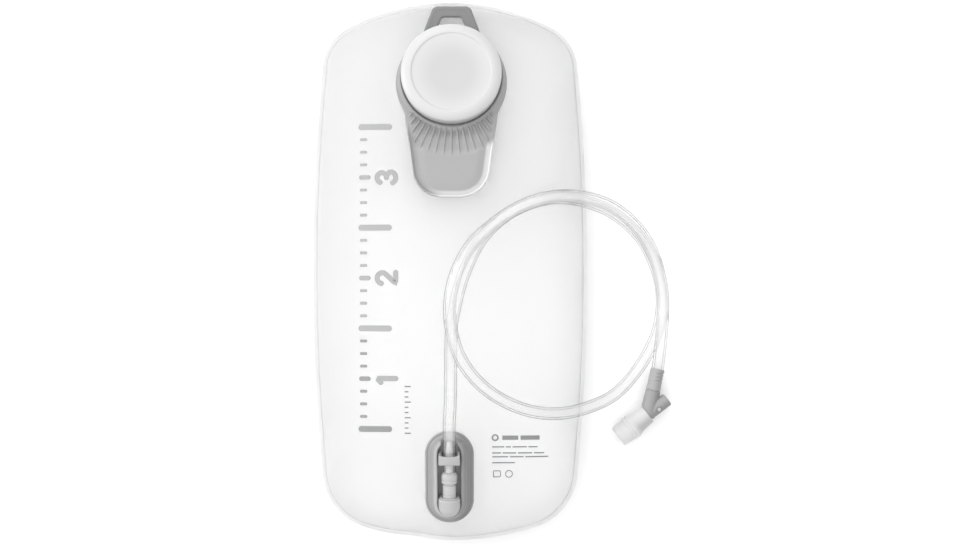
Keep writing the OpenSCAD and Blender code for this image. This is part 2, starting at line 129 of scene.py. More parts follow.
def outward(loop):
    """Unit normals of a closed line that runs counter-clockwise."""
    t = np.roll(loop, -1, 0) - np.roll(loop, 1, 0)
    t /= np.linalg.norm(t, axis=1)[:, None]
    return np.stack((t[:, 1], -t[:, 0]), 1)


def rounded(profile, r=0.3, steps=4):
    """A closed 2D profile with its corners rounded. A point may carry its own radius third."""
    out = []
    corners = [np.array(q[:2], float) for q in profile]
    for i, p in enumerate(corners):
        rad = profile[i][2] if len(profile[i]) > 2 else r
        a, b = corners[i - 1], corners[(i + 1) % len(corners)]
        la, lb = np.linalg.norm(a - p), np.linalg.norm(b - p)
        ua, ub = (a - p) / max(la, 1e-9), (b - p) / max(lb, 1e-9)
        half = acos(float(np.clip(ua @ ub, -1, 1))) / 2
        if rad <= 0 or half > radians(86) or la < 1e-6 or lb < 1e-6:
            out.append(tuple(p))
            continue
        cut = min(rad / tan(half), 0.48 * la, 0.48 * lb)
        r_eff = cut * tan(half)
        centre = p + (ua + ub) / np.linalg.norm(ua + ub) * (r_eff / sin(half))
        s, e = p + ua * cut - centre, p + ub * cut - centre
        a0, a1 = atan2(s[1], s[0]), atan2(e[1], e[0])
        d = (a1 - a0 + pi) % TAU - pi
        turns = [a0 + d * k / steps for k in range(steps + 1)]
        out += [(centre[0] + r_eff * cos(t), centre[1] + r_eff * sin(t)) for t in turns]
    return out


# ---- mesh tools
def shade(obj, angle=40):
    """Smooth shading with creases where faces meet more sharply than the angle."""
    data = obj.data
    data.polygons.foreach_set("use_smooth", [True] * len(data.polygons))
    data.set_sharp_from_angle(angle=radians(angle))


def new_mesh(name, verts, faces, matrix=None):
    """Object from points in millimetres, smooth-shaded, placed by a matrix in metres."""
    data = bpy.data.meshes.new(name)
    data.from_pydata([tuple(MM * float(c) for c in v) for v in verts], [], faces)
    if matrix is not None:
        data.transform(matrix)
    data.update()
    obj = bpy.data.objects.new(name, data)
    scene.collection.objects.link(obj)
    shade(obj)
    return obj


def edit(obj, change):
    """Makes a change to the mesh by way of a bmesh."""
    bm = bmesh.new()
    bm.from_mesh(obj.data)
    change(bm)
    bm.to_mesh(obj.data)
    bm.free()


def face_outwards(bm):
    bmesh.ops.recalc_face_normals(bm, faces=bm.faces)


def merge_doubles(bm):
    bmesh.ops.remove_doubles(bm, verts=bm.verts, dist=1e-6)
    bmesh.ops.dissolve_degenerate(bm, edges=bm.edges, dist=1e-6)
    face_outwards(bm)


def clean(obj):
    edit(obj, merge_doubles)
    shade(obj)


def loft(rings, loop=False):
    """Vertices and quads that join rings of equal count. loop joins the last ring to the first."""
    n = len(rings[0])
    verts = [p for r in rings for p in r]
    faces = []
    for r in range(len(rings) if loop else len(rings) - 1):
        a, b = r * n, ((r + 1) % len(rings)) * n
        for i in range(n):
            j = (i + 1) % n
            faces.append((a + i, a + j, b + j, b + i))
    return verts, faces


def looped(name, rings, matrix=None):
    """Closed piece whose last ring joins its first."""
    obj = new_mesh(name, *loft(rings, loop=True), matrix)
    clean(obj)
    return obj


def capped(name, rings, matrix):
    """Closed piece with a flat face at both ends."""
    verts, faces = loft(rings)
    n = len(rings[0])
    faces.append(tuple(range(n - 1, -1, -1)))
    faces.append(tuple(range(len(verts) - n, len(verts))))
    obj = new_mesh(name, verts, faces, matrix)
    edit(obj, lambda bm: bmesh.ops.triangulate(bm, faces=[f for f in bm.faces if len(f.verts) > 4]))
    clean(obj)
    return obj


def swept(name, profile, matrix, n, radius_at=lambda r, z, a: r):
    """Turned piece about +Z of the matrix from (radius, height) points, with a radius that may vary."""
    rings = []
    for r, z in profile:
        ring = [(radius_at(r, z, TAU * k / n), TAU * k / n) for k in range(n)]
        rings.append([(rr * cos(a), rr * sin(a), z) for rr, a in ring])
    return looped(name, rings, matrix)


def lathe(name, profile, matrix, n=64, r=0.3, steps=3):
    """Turned piece with the corners of its profile rounded."""
    return swept(name, rounded(profile, r, steps), matrix, n)


def rod(r, z0, z1, matrix, n=64):
    """Round cutter about +Z of the matrix."""
    return lathe("cut", [(0.001, z0), (r, z0), (r, z1), (0.001, z1)], matrix, n=n, r=0)


def box(lo, hi, matrix):
    (x0, y0, z0), (x1, y1, z1) = lo, hi
    v = [(x, y, z) for z in (z0, z1) for x, y in ((x0, y0), (x1, y0), (x1, y1), (x0, y1))]
    f = [(0, 3, 2, 1), (4, 5, 6, 7), (0, 1, 5, 4), (1, 2, 6, 5), (2, 3, 7, 6), (3, 0, 4, 7)]
    return new_mesh("cut", v, f, matrix)


def modify(obj, kind, **settings):
    """Adds a modifier with these settings and applies it."""
    m = obj.modifiers.new(kind, kind)
    for key, value in settings.items():
        setattr(m, key, value)
    deps = bpy.context.evaluated_depsgraph_get()
    data = bpy.data.meshes.new_from_object(obj.evaluated_get(deps))
    obj.modifiers.clear()
    old = obj.data
    obj.data = data
    bpy.data.meshes.remove(old)
    shade(obj)


def boolean(obj, other, operation="DIFFERENCE"):
    """Cuts the other piece away, or does what the operation says, and drops it."""
    modify(obj, "BOOLEAN", operation=operation, solver="EXACT", object=other)
    bpy.data.objects.remove(other)


# ---- materials
def set_sockets(shader, values):
    for key, value in values.items():
        shader.inputs[key.replace("_", " ")].default_value = value


def add_node(tree, kind, fed_by=None, **values):
    """Shader node with these values, and with sockets fed by other nodes' outputs."""
    made = tree.nodes.new(kind)
    set_sockets(made, values)
    for key, output in (fed_by or {}).items():
        tree.links.new(output, made.inputs[key])
    return made


def base_mix(m, blend):
    """A colour mix that feeds the material's base colour, and what fed it before."""
    tree = m.node_tree
    base = tree.nodes["Principled BSDF"].inputs["Base Color"]
    before = base.links[0].from_socket if base.is_linked else None
    mix = tree.nodes.new("ShaderNodeMix")
    mix.data_type = "RGBA"
    mix.blend_type = blend
    tree.links.new(mix.outputs["Result"], base)
    return mix, before


def grey_mix(m, factor, dark, light):
    """Base colour that goes from one grey to another with the factor, in place of any earlier mix."""
    mix, before = base_mix(m, "MIX")
    if before:
        m.node_tree.nodes.remove(before.node)
    set_sockets(mix, {"A": (dark, dark, dark, 1), "B": (light, light, light, 1)})
    m.node_tree.links.new(factor, mix.inputs["Factor"])


def noise(tree, scale, **values):
    at = add_node(tree, "ShaderNodeTexCoord").outputs["Object"]
    return add_node(tree, "ShaderNodeTexNoise", {"Vector": at}, Scale=scale, **values).outputs["Fac"]


def uneven_gloss(tree, cloud, low, high):
    spread = add_node(tree, "ShaderNodeMapRange", {"Value": cloud}, To_Min=low, To_Max=high)
    tree.links.new(spread.outputs["Result"], tree.nodes["Principled BSDF"].inputs["Roughness"])


GLOSS_SPREAD = 0.05
GRAIN_DEPTH = 0.2 * MM


def material(name, grey, rough=0.4, bump=0.05, grain=900.0, mottle=0.04, mottle_scale=60.0, **sockets):
    """Moulded plastic or rubber: a grey with a faint mottle, uneven gloss and a fine grain."""
    m = bpy.data.materials.new(name)
    m.use_nodes = True
    tree = m.node_tree
    shader = tree.nodes["Principled BSDF"]
    cloud = noise(tree, mottle_scale, Detail=3.0)
    grey_mix(m, cloud, grey * (1 - mottle), min(1, grey * (1 + mottle)))
    uneven_gloss(tree, cloud, rough - GLOSS_SPREAD, rough + GLOSS_SPREAD)
    if bump:
        fine = noise(tree, grain, Detail=2.0)
        dents = add_node(tree, "ShaderNodeBump", {"Height": fine}, Strength=bump, Distance=GRAIN_DEPTH)
        tree.links.new(dents.outputs["Normal"], shader.inputs["Normal"])
    set_sockets(shader, sockets)
    return m


def fade_from_axis(m, axis, near, far, dark, light):
    """Base colour that goes from dark to light with the distance from an upright axis, in millimetres."""
    tree = m.node_tree
    vector = add_node(tree, "ShaderNodeTexCoord").outputs["Object"]
    for operation, other in (("MULTIPLY", (1, 1, 0)), ("DISTANCE", (axis[0] * MM, axis[1] * MM, 0))):
        step = add_node(tree, "ShaderNodeVectorMath", {0: vector})
        step.operation = operation
        step.inputs[1].default_value = other
        vector, distance = step.outputs
    fade = add_node(tree, "ShaderNodeMapRange", {"Value": distance}, From_Min=near * MM, From_Max=far * MM)
    fade.interpolation_type = "SMOOTHSTEP"
    grey_mix(m, fade.outputs["Result"], dark, light)


def paint_shade_below(m, inner, outer):
    """Painted shade on a shell that lies open side up: base colour lighter on the faces that look up, darker
    on those that look down.
    """
    tree = m.node_tree
    normal = add_node(tree, "ShaderNodeNewGeometry").outputs["Normal"]
    split = add_node(tree, "ShaderNodeSeparateXYZ", {"Vector": normal})
    up = add_node(tree, "ShaderNodeMapRange", {"Value": split.outputs["Z"]}, From_Min=-0.12, From_Max=0.04)
    grey_mix(m, up.outputs["Result"], outer, inner)


# Greys are linear albedos.
FILM_LOOK = {"rough": 0.5, "bump": 0.02, "grain": 1500, "mottle": 0.006, "mottle_scale": 25}
PRINT_LOOK = {"rough": 0.5, "bump": 0.08, "grain": 2500, "mottle_scale": 300}
SATIN = {"grain": 1600, "mottle": 0.02}
FILM = material("film_frosted", 0.98, **FILM_LOOK, Transmission_Weight=0.85, IOR=1.3)
FILM_BACK = material("film_back", 0.96, **FILM_LOOK)
# Painted shade: the back film's faces that look down get a darker grey.
paint_shade_below(FILM_BACK, 0.96, 0.68)
LOOP = material("loop_satin", 0.18, rough=0.42, bump=0.06, **SATIN)
HANDLE = material("handle_satin", 0.32, rough=0.42, bump=0.06, **SATIN)
NECK_M = material("neck_natural", 0.70, rough=0.4, bump=0.03, mottle=0.02, Transmission_Weight=0.15)
CAP = material("cap_frosted", 0.80, rough=0.38, bump=0.03, grain=1400, Transmission_Weight=0.1, IOR=1.46,
               mottle=0.012, mottle_scale=30)
# Painted shade: the cap's top is darker in the middle, for the dim inside seen through it.
fade_from_axis(CAP, (NECK_X, 148), 12, 30, 0.54, 0.62)
SEAL = material("seal_silicone", 0.30, rough=0.55, bump=0.04, mottle=0.05)
PORT_M = material("port_satin", 0.31, rough=0.4, bump=0.05, **SATIN)
SOCKET = material("socket_satin", 0.42, rough=0.38, bump=0.04, **SATIN)
BUTTON = material("button_satin", 0.40, rough=0.36, bump=0.04, **SATIN)
STEEL = material("spring_steel", 0.60, rough=0.25, bump=0.02, grain=3000, mottle=0.03, Metallic=1.0)
PLUG_M = material("plug_satin", 0.46, rough=0.35, bump=0.04, **SATIN)
SLEEVE = material("sleeve_rubber", 0.36, rough=0.5, bump=0.08, grain=1800, mottle=0.03)
VALVE = material("valve_satin", 0.31, rough=0.4, bump=0.05, grain=1700, mottle=0.03)
CORE = material("core_satin", 0.50, rough=0.4, bump=0.03, mottle=0.03)
BITE = material("bite_silicone", 0.82, rough=0.45, bump=0.05, grain=1300, Transmission_Weight=0.3, IOR=1.42,
                mottle=0.02, mottle_scale=90)
PRINT_LOW = material("print_mid_grey", 0.27, mottle=0.05, **PRINT_LOOK)
PRINT = material("print_grey", 0.36, mottle=0.05, **PRINT_LOOK)
PRINT_DARK = material("print_dark_grey", 0.22, mottle=0.06, **PRINT_LOOK)

# The hose: facing values from 0 (wall seen square on) to 1 (edge-on), and its grey there. The darker grey
# edge-on is partly the longer path through the tinted wall and partly painted shade for the light the wall
# bends away.
HOSE_EDGE_SHADE = ((0.28, 0.91), (0.68, 0.17))
HOSE_SHADOW = 0.985
HOSE_SOCKETS = {"Transmission Weight": 0.86, "IOR": 1.03, "Coat Weight": 0.7, "Coat Roughness": 0.12}


def tube_material():
    """Clear tube with dark edges, partly painted shade, which hardly bends light and lets it through to what
    lies under.
    """
    m = bpy.data.materials.new("hose_clear")
    m.use_nodes = True
    tree = m.node_tree
    shader = tree.nodes["Principled BSDF"]
    facing = add_node(tree, "ShaderNodeLayerWeight", Blend=0.35).outputs["Facing"]
    tint = add_node(tree, "ShaderNodeValToRGB", {"Fac": facing})
    for stop, (position, grey) in zip(tint.color_ramp.elements, HOSE_EDGE_SHADE):
        stop.position = position
        stop.color = (grey, grey, grey, 1)
    tree.links.new(tint.outputs["Color"], shader.inputs["Base Color"])
    set_sockets(shader, HOSE_SOCKETS)
    uneven_gloss(tree, noise(tree, 12.0), 0.0, 0.02)
    path = add_node(tree, "ShaderNodeLightPath").outputs
    either = add_node(tree, "ShaderNodeMath", {0: path["Is Shadow Ray"], 1: path["Is Diffuse Ray"]})
    either.operation = "MAXIMUM"
    clear = add_node(tree, "ShaderNodeBsdfTransparent", Color=(HOSE_SHADOW, HOSE_SHADOW, HOSE_SHADOW, 1))
    mix = add_node(tree, "ShaderNodeMixShader", {"Fac": either.outputs[0], 1: shader.outputs[0],
                                                 2: clear.outputs[0]})
    tree.links.new(mix.outputs[0], tree.nodes["Material Output"].inputs["Surface"])
    return m


def wear(obj, mat):
    obj.data.materials.clear()
    obj.data.materials.append(mat)


def paint(obj, mat, slot, body, *nodes):
    wear(obj, mat)
    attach(obj, body)
    if nodes:
        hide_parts(*nodes)
    return obj


def local_mm(obj, matrix):
    """The mesh's points in a frame of the object, in millimetres, as x, y and z."""
    inverse = matrix.inverted()
    return np.array([tuple(inverse @ v.co) for v in obj.data.vertices]).T / MM


def set_painted_light(obj, m, painted_light):
    """Painted light and shade: multiplies the material's base colour by a value held at each point of the
    mesh.
    """
    rgba = np.column_stack((painted_light, painted_light, painted_light, np.ones(len(painted_light))))
    obj.data.color_attributes.new("painted_light", "FLOAT_COLOR", "POINT").data.foreach_set("color", rgba.ravel())
    read = m.node_tree.nodes.new("ShaderNodeAttribute")
    read.attribute_name = "painted_light"
    mix, before = base_mix(m, "MULTIPLY")
    mix.inputs["Factor"].default_value = 1.0
    m.node_tree.links.new(before, mix.inputs["A"])
    m.node_tree.links.new(read.outputs["Color"], mix.inputs["B"])


# ---- hose
HOSE_M = tube_material()
HOSE_R, BORE_R = 4.75, 3.175
ROUTE = [(0, -149.5, 58.2), (0, -132, 61.9), (0, -114, 65.3), (1, -93, 66.7), (1.5, -46, 66.4),
         (4, -28, 66.8), (11, -2, 67), (24, 24, 66.2), (43, 42, 64), (64, 52, 60.5), (83, 55, 55),
         (104, 52, 46), (125, 43, 36.5), (143, 28, 24), (155, 9, 12.5), (162.2, -16, 5.8), (159.8, -44, 5.2),
         (147, -70.5, 7.2), (127, -92.5, 21), (105, -102.5, 37.5), (83, -106.5, 50.5), (62, -104.5, 59.5),
         (42, -97, 65.5), (24, -84.5, 70.5), (10, -67, 74.5), (2.5, -47, 76.4), (0.5, -24, 76.8),
         (5, -2, 76.8), (15.5, 18, 76.2), (31, 33.5, 75.2), (51, 47, 72.8), (74, 55, 68.2), (98, 55.5, 60),
         (121, 49, 50), (141, 33.5, 38.2), (154.5, 13, 25.6), (162, -14, 16.2), (162.2, -40, 15.9),
         (159, -74.8, 10.2), (155.5, -90.4, 10.2)]


def spline(points, sub):
    """The CAD source's Catmull-Rom line through the points, with sub steps for each span."""
    p = [np.array(q, float) for q in points]
    last = len(p) - 1
    out = []
    for i in range(last):
        a, b, c, d = p[max(0, i - 1)], p[i], p[i + 1], p[min(last, i + 2)]
        for k in range(sub):
            t = k / sub
            out.append((2 * b + (c - a) * t + (2 * a - 5 * b + 4 * c - d) * t * t
                        + (3 * b - a - 3 * c + d) * t ** 3) / 2)
    out.append(p[-1])
    return out


def tube(name, line, radii, n=48):
    """Tube wall along a line: radii are (outer, inner)."""
    line = np.array(line)
    tang = np.gradient(line, axis=0)
    tang /= np.linalg.norm(tang, axis=1)[:, None]
    walls = [[], []]
    side = np.cross(tang[0], (0, 0, 1.0))
    for i, t in enumerate(tang):
        side = side - t * (side @ t)
        side /= np.linalg.norm(side)
        up = np.cross(side, t)
        for wall, r in zip(walls, radii):
            wall.append([tuple(line[i] + r * (side * cos(TAU * k / n) + up * sin(TAU * k / n)))
                         for k in range(n)])
    return looped(name, walls[0] + walls[1][::-1])


hose_line = spline(ROUTE, 12)
hose = paint(tube("drinking_hose", hose_line, (HOSE_R, BORE_R)), HOSE_M, "hose", "hose_line", "hose")

# ---- bag
BAG_W, BAG_L, BAG_H, SEAM_Z, FILM_T = 208, 408, 62, 26, 0.8
SIDE_R, TOP_R, BOTTOM_R, TOP_CORNER, BOTTOM_CORNER = 1600, 165, 215, 37, 46
SEAM_W = 2.8
DOME_H = BAG_H - SEAM_Z - FILM_T
FILM_SKIN = 0.35
LAND_GAP = 0.02
PORT_HALF = 17.6


def bag_outline():
    """Right half of the outline as tangent arcs, then mirrored. Counter-clockwise from the bottom."""
    side_c = np.array((BAG_W / 2 - SIDE_R, 0.0))
    top_c = np.array((0.0, BAG_L / 2 - TOP_R))
    bot_c = np.array((0.0, BOTTOM_R - BAG_L / 2))

    def meet(a, ra, b, rb, s):
        d = np.linalg.norm(b - a)
        t = (ra * ra - rb * rb + d * d) / (2 * d)
        h = sqrt(ra * ra - t * t)
        u = (b - a) / d
        return a + u * t + np.array((-u[1], u[0])) * h * s

    def head(a, b):
        return degrees(atan2(b[1] - a[1], b[0] - a[0]))

    top_k = meet(side_c, SIDE_R - TOP_CORNER, top_c, TOP_R - TOP_CORNER, 1)
    bot_k = meet(side_c, SIDE_R - BOTTOM_CORNER, bot_c, BOTTOM_R - BOTTOM_CORNER, -1)
    heads = [-90, head(bot_c, bot_k), head(side_c, bot_k), head(side_c, top_k), head(top_c, top_k), 90]
    arcs = ((bot_c, BOTTOM_R, 26), (bot_k, BOTTOM_CORNER, 22), (side_c, SIDE_R, 60), (top_k, TOP_CORNER, 22),
            (top_c, TOP_R, 26))
    right = []
    for (c, r, n), a0, a1 in zip(arcs, heads, heads[1:]):
        right += [c + r * np.array(polar(1, a0 + (a1 - a0) * i / n)) for i in range(n)]
    left = [np.array((-p[0], p[1])) for p in right[:0:-1]]
    return np.array(right + [np.array((0.0, BAG_L / 2))] + left)


OUT = bag_outline()
N_OUT = len(OUT)
OUT_N = outward(OUT)
REACH = (OUT * OUT_N).sum(1)
RUN = run_of(np.vstack((OUT, OUT[:1])))


def ring_xy(cut, s):
    """The outline drawn in by a cut, then scaled."""
    return OUT * (1 - cut / REACH)[:, None] * s


def neck_w(p):
    """1 under the neck's weld, 0 away from it."""
    return smoothstep((47 - np.hypot(p[:, 0] - NECK_X, p[:, 1] - 141.0)) / 5)


def port_w(p):
    """1 under the port's weld, 0 away from it."""
    e = np.maximum(0, np.abs(p[:, 1] - PORT_Y) - PORT_HALF)
    return smoothstep((31 - np.hypot(p[:, 0], e)) / 11)


def landed(p, z):
    """Heights of the front film, drawn to the tilted planes of the neck and the port."""
    a, b = neck_w(p), port_w(p)
    slope = tan(radians(TILT))
    neck = NECK_Z - slope * (p[:, 1] - NECK_Y) - LAND_GAP
    port = PORT_Z + slope * (p[:, 1] - PORT_Y) - LAND_GAP
    return z * (1 - a) * (1 - b) + neck * a + port * b


def waves(pts, seed, count, low, high):
    """Smooth undulation in the plane: a fixed sum of sines, about -1 to 1."""
    rng = np.random.default_rng(seed)
    out = np.zeros(len(pts))
    for _ in range(count):
        a, ph, wl = rng.uniform(0, TAU), rng.uniform(0, TAU), rng.uniform(low, high)
        out += np.sin(TAU * (pts[:, 0] * cos(a) + pts[:, 1] * sin(a)) / wl + ph)
    return out / sqrt(count)


def puckers(seed):
    """Short radial folds along the weld, by position round the edge: stronger at the corners."""
    rng = np.random.default_rng(seed)
    out = np.zeros(N_OUT)
    for _ in range(9):
        k = rng.integers(28, 78)
        out += np.sin(TAU * k * RUN[:-1] / RUN[-1] + rng.uniform(0, TAU)) * rng.uniform(0.4, 1)
    turning = np.abs(np.gradient(np.unwrap(np.arctan2(OUT_N[:, 1], OUT_N[:, 0])))) / np.gradient(RUN)[:-1]
    turning = np.convolve(np.concatenate((turning[-8:], turning, turning[:8])), np.ones(17) / 17, "valid")
    return out / 4 * (0.25 + 0.9 * np.clip(turning * 35, 0, 1))


# Angles up the film's quarter section, and the scales of the flat rings in the middle of the back.
FILM_STEPS = (2, 4, 7, 10, 14, 18, 22, 27, 32, 37, 42, 47, 52, 56, 60, 64, 68, 71, 74, 77, 80, 83, 86, 88)
BACK_FLAT = (0.56, 0.45, 0.3, 0.15)
PUCKER_FRONT, PUCKER_BACK, PUCKER_AT = 0.8, 0.7, 14
WAVE_H = 0.45


def front_ring(a, folds):
    s, q = polar(1, a)
    xy = ring_xy(SEAM_W, s)
    z = np.full(N_OUT, SEAM_Z + FILM_T + DOME_H * q)
    z = z + folds * PUCKER_FRONT * exp(-((a - PUCKER_AT) / 15) ** 2)
    calm = (1 - neck_w(xy)) * (1 - port_w(xy))
    z = z + WAVE_H * waves(xy, 3, 7, 70, 170) * calm * smoothstep(q * 1.6 - 0.2)
    return np.column_stack((xy, landed(xy, np.minimum(z, BAG_H))))


def back_ring(a, folds):
    s, q = polar(1, a)
    z = (SEAM_Z - FILM_T) * (1 - q) + np.zeros(N_OUT)
    z = z - folds * PUCKER_BACK * exp(-((a - PUCKER_AT) / 13) ** 2)
    return np.column_stack((ring_xy(SEAM_W, 0.6 + 0.4 * s), np.maximum(z, 0.0)))


def dented(row):
    """A slight hollow in the lower edge, left of the middle."""
    row = row.copy()
    row[:, 1] += 1.7 * bell(row[:, 0], -27, 17) * smoothstep((-150 - row[:, 1]) / 45)
    return row


def film(name, front):
    folds = puckers(5 if front else 9)
    ring = front_ring if front else back_ring
    sgn = 1 if front else -1
    weld_z = SEAM_Z + sgn * 0.45
    rows = [np.column_stack((ring_xy(c, 1.0), np.full(N_OUT, z))) for c, z in
            ((0.0, SEAM_Z + sgn * 0.02), (0.0, weld_z - sgn * 0.1), (0.12, weld_z), (SEAM_W - 0.9, weld_z),
             (SEAM_W - 0.35, weld_z + sgn * 0.06))]
    rows = [dented(r) for r in rows + [ring(a, folds) for a in FILM_STEPS]]
    if not front:
        rows += [np.column_stack((ring_xy(SEAM_W, s), np.zeros(N_OUT))) for s in BACK_FLAT]
    verts, faces = loft(rows)
    middle = len(verts)
    verts.append((0, 0, BAG_H if front else 0))
    base = middle - N_OUT
    faces += [(base + i, base + (i + 1) % N_OUT, middle) for i in range(N_OUT)]
    obj = new_mesh(name, verts, faces)
    edit(obj, face_outwards)
    modify(obj, "SOLIDIFY", thickness=FILM_SKIN * MM, offset=-1 if front else 1)
    return obj


front = paint(film("front_film", True), FILM, "film", "reservoir", "bag_front_film")
back = paint(film("back_film", False), FILM_BACK, "film", "reservoir", "bag_back_film")


# ---- handle
NECK_R = 33.43
HEAD_R, HEAD_DROP = 41.6, -3.7
TONGUE_END, TONGUE_X, TONGUE_R = -70.4, 6.5, 22


def handle_outline():
    """Outline of the welded head and its tongue in the neck's frame, clockwise, softened where they meet."""
    head = [polar(HEAD_R, a) for a in range(213, -34, -2)]
    pts = [(x, HEAD_DROP + y) for x, y in head]
    half = [(33.2, -41), (31.6, -49), (30.4, -56.5), (29.4, -64), (28.5, TONGUE_END)]
    corner = [polar(TONGUE_R, a) for a in range(-6, -91, -4)]
    half += [(TONGUE_X + x, TONGUE_END + y) for x, y in corner]
    pts += half + [(-x, y) for x, y in half[::-1]]
    out = even_loop(pts, 720)
    soft = np.exp(-0.5 * (np.arange(-14, 15) / 5.0) ** 2)
    soft /= soft.sum()
    for c in (0, 1):
        out[:, c] = np.convolve(np.concatenate((out[-14:, c], out[:, c], out[:14, c])), soft, "valid")
    return out


HANDLE_LINE = handle_outline()


def depth_in(line, x, y):
    """Distance from each point to a closed line, in millimetres."""
    q = np.stack((x, y), -1).reshape(-1, 2)
    ab = np.roll(line, -1, 0) - line
    best = np.full(len(q), 1e9)
    for i in range(len(line)):
        t = np.clip(((q - line[i]) @ ab[i]) / (ab[i] @ ab[i]), 0, 1)
        best = np.minimum(best, np.hypot(*(q - line[i] - t[:, None] * ab[i]).T))
    return best.reshape(x.shape)


RIM_H, WALL_DROP, CROWN_H, SAG = 5.3, 2.5, 1.7, 0.6
COLLAR_H, COLLAR_DROP = 4.6, 2.3
RIB_PITCH, RIB_LAST = 5.8, 8
EDGE_R = 0.35


def handle_height(x, y, d):
    """Height of the handle's top at x, y, a distance d inside its outline."""
    r = np.hypot(x, y)
    ang = np.degrees(np.arctan2(x, -y))
    # A rim that falls steeply inwards to a groove, and a crowned floor inside it.
    wall = RIM_H - WALL_DROP * smoothstep((d - 0.1) / 2.5)
    sag = SAG * smoothstep((-58 - y) / 8) * smoothstep((y + 92) / 14)
    tongue = wall + (CROWN_H * smoothstep((d - 1.6) / 9.5) - sag)
    head = 1.35 + 1.05 * smoothstep(d / 1.1)
    on_tongue = smoothstep((-33 - y) / 16)
    z = head * (1 - on_tongue) + tongue * on_tongue
    z = np.maximum(z, COLLAR_H - COLLAR_DROP * smoothstep((r - 38.3) / 2.6))
    # Fan of ribs below the collar, standing in a hollow.
    k = np.round(ang / RIB_PITCH)
    off = np.abs(ang - k * RIB_PITCH) * pi / 180 * r
    hollow = smoothstep((62.5 - r) / 5) * smoothstep((50 - np.abs(ang)) / 4) * smoothstep((d - 2.5) / 2)
    z = np.where(r > 40.9, z - np.minimum(1.3 * hollow, np.maximum(0, z - 2.5)), z)
    reach = smoothstep((61.5 - r) / 6) * smoothstep((r - 39) / 3.0)
    on = (np.abs(k) <= RIB_LAST) & (y < 0)
    rib_top = COLLAR_H - 0.3 * smoothstep((r - 40) / 12)
    rib = np.where(on, smoothstep((1.15 - off) / 0.8) * reach * smoothstep((d - 2.6) / 2.2), 0)
    z = z + np.maximum(rib_top - z, 0) * rib
    edge = np.clip(1 - d / EDGE_R, 0, 1)
    return z - (1 - np.sqrt(np.maximum(0, 1 - edge ** 2))) * EDGE_R


# Depths of the handle's outer rings, how many even ones lie inside them, and which ones the underside has.
RIM_DEPTHS = (0.0, 0.04, 0.16, 0.36, 0.6, 0.85, 1.15, 1.5, 1.9, 2.3, 2.7, 3.1, 3.5, 3.9, 4.3, 4.8, 5.4, 6.2)
INNER_RINGS = 44
UNDER_RINGS = (-1, 40, 26, 17, 8, 4, 2, 1, 0)


def farthest_hit(dx, dy):
    """How far a ray from the neck's axis runs to the outline, and how squarely it meets it."""
    a, b = HANDLE_LINE, np.roll(HANDLE_LINE, -1, 0)
    ca = dx * a[:, 1] - dy * a[:, 0]
    cb = dx * b[:, 1] - dy * b[:, 0]
    best, square = 0, 1
    for k in np.where((ca * cb <= 0) & ((a + b) @ np.array((dx, dy)) > 0))[0]:
        far = np.hypot(*(a[k] + (b[k] - a[k]) * (ca[k] / (ca[k] - cb[k] + 1e-12))))
        if far > best:
            e = (b[k] - a[k]) / np.linalg.norm(b[k] - a[k])
            best, square = far, abs(dx * e[1] - dy * e[0])
    return best, max(square, 0.22)


def handle():
    # Rays lie closer together across the ribs.
    rays = np.radians(np.concatenate((np.linspace(-50.46, 50.46, 261), np.arange(52.2, 307.9, 1.5))))
    dx, dy = np.sin(rays), -np.cos(rays)
    r_out, square = np.array([farthest_hit(*ray) for ray in zip(dx, dy)]).T
    span = r_out - NECK_R
    radii = [r_out]
    for j, d in enumerate(RIM_DEPTHS[1:], 1):
        radii.append(r_out - np.minimum(d / square, span * (0.1 + 0.72 * j / len(RIM_DEPTHS))))
    inmost = radii[-1]
    for k in range(1, INNER_RINGS + 1):
        radii.append(inmost + (NECK_R - inmost) * k / INNER_RINGS)
    top, low = [], []
    for r in radii:
        x, y = dx * r, dy * r
        d = depth_in(HANDLE_LINE, x, y)
        top.append(np.column_stack((x, y, handle_height(x, y, d))))
        low.append(np.column_stack((x, y, 0.45 * np.clip(1 - d / 0.7, 0, 1) ** 2)))
    obj = looped("grip_handle", [low[i] for i in UNDER_RINGS] + top, NECK)
    shade(obj, 50)
    return obj


def hang_loop():
    outer = rounded([(-22.0, 33.5, 1), (22.0, 33.5, 1), (13.9, 55.6, 5), (-13.9, 55.6, 5)], 1, 8)
    inner = rounded([(-10.4, 39.4, 1.2), (10.4, 39.4, 1.2), (7.2, 47, 2.2), (-7.2, 47, 2.2)], 1, 8)
    o, i = (resample(line, 160, -pi / 2) for line in (outer, inner))
    # Section of the frame: share of the way from the outer line to the inner one, and height.
    section = [(0.0, 2.4), (0.02, 3.4), (0.07, 3.95), (0.16, 4.3), (0.28, 4.38), (0.4, 4.1), (0.6, 4.05),
               (0.78, 4.25), (0.9, 4.2), (0.97, 3.9), (1.0, 3.3), (1.0, 2.0), (0.97, 1.5), (0.5, 1.4),
               (0.03, 1.5), (0.0, 2.0)]
    return looped("hang_loop", [[(*p, z) for p in o * (1 - t) + i * t] for t, z in section], NECK)


grip = paint(handle(), HANDLE, "handle", "reservoir", "handle_flange")
paint(hang_loop(), LOOP, "handle", "reservoir", "handle_flange")

# ---- cap
CAP_R, CAP_IN, CAP_LOW, CAP_UNDER, CAP_TOP = 37.6, 35.0, 4.8, 16.1, 18.9
SHOULDER_R, SHOULDER_H = 6.9, 3.4


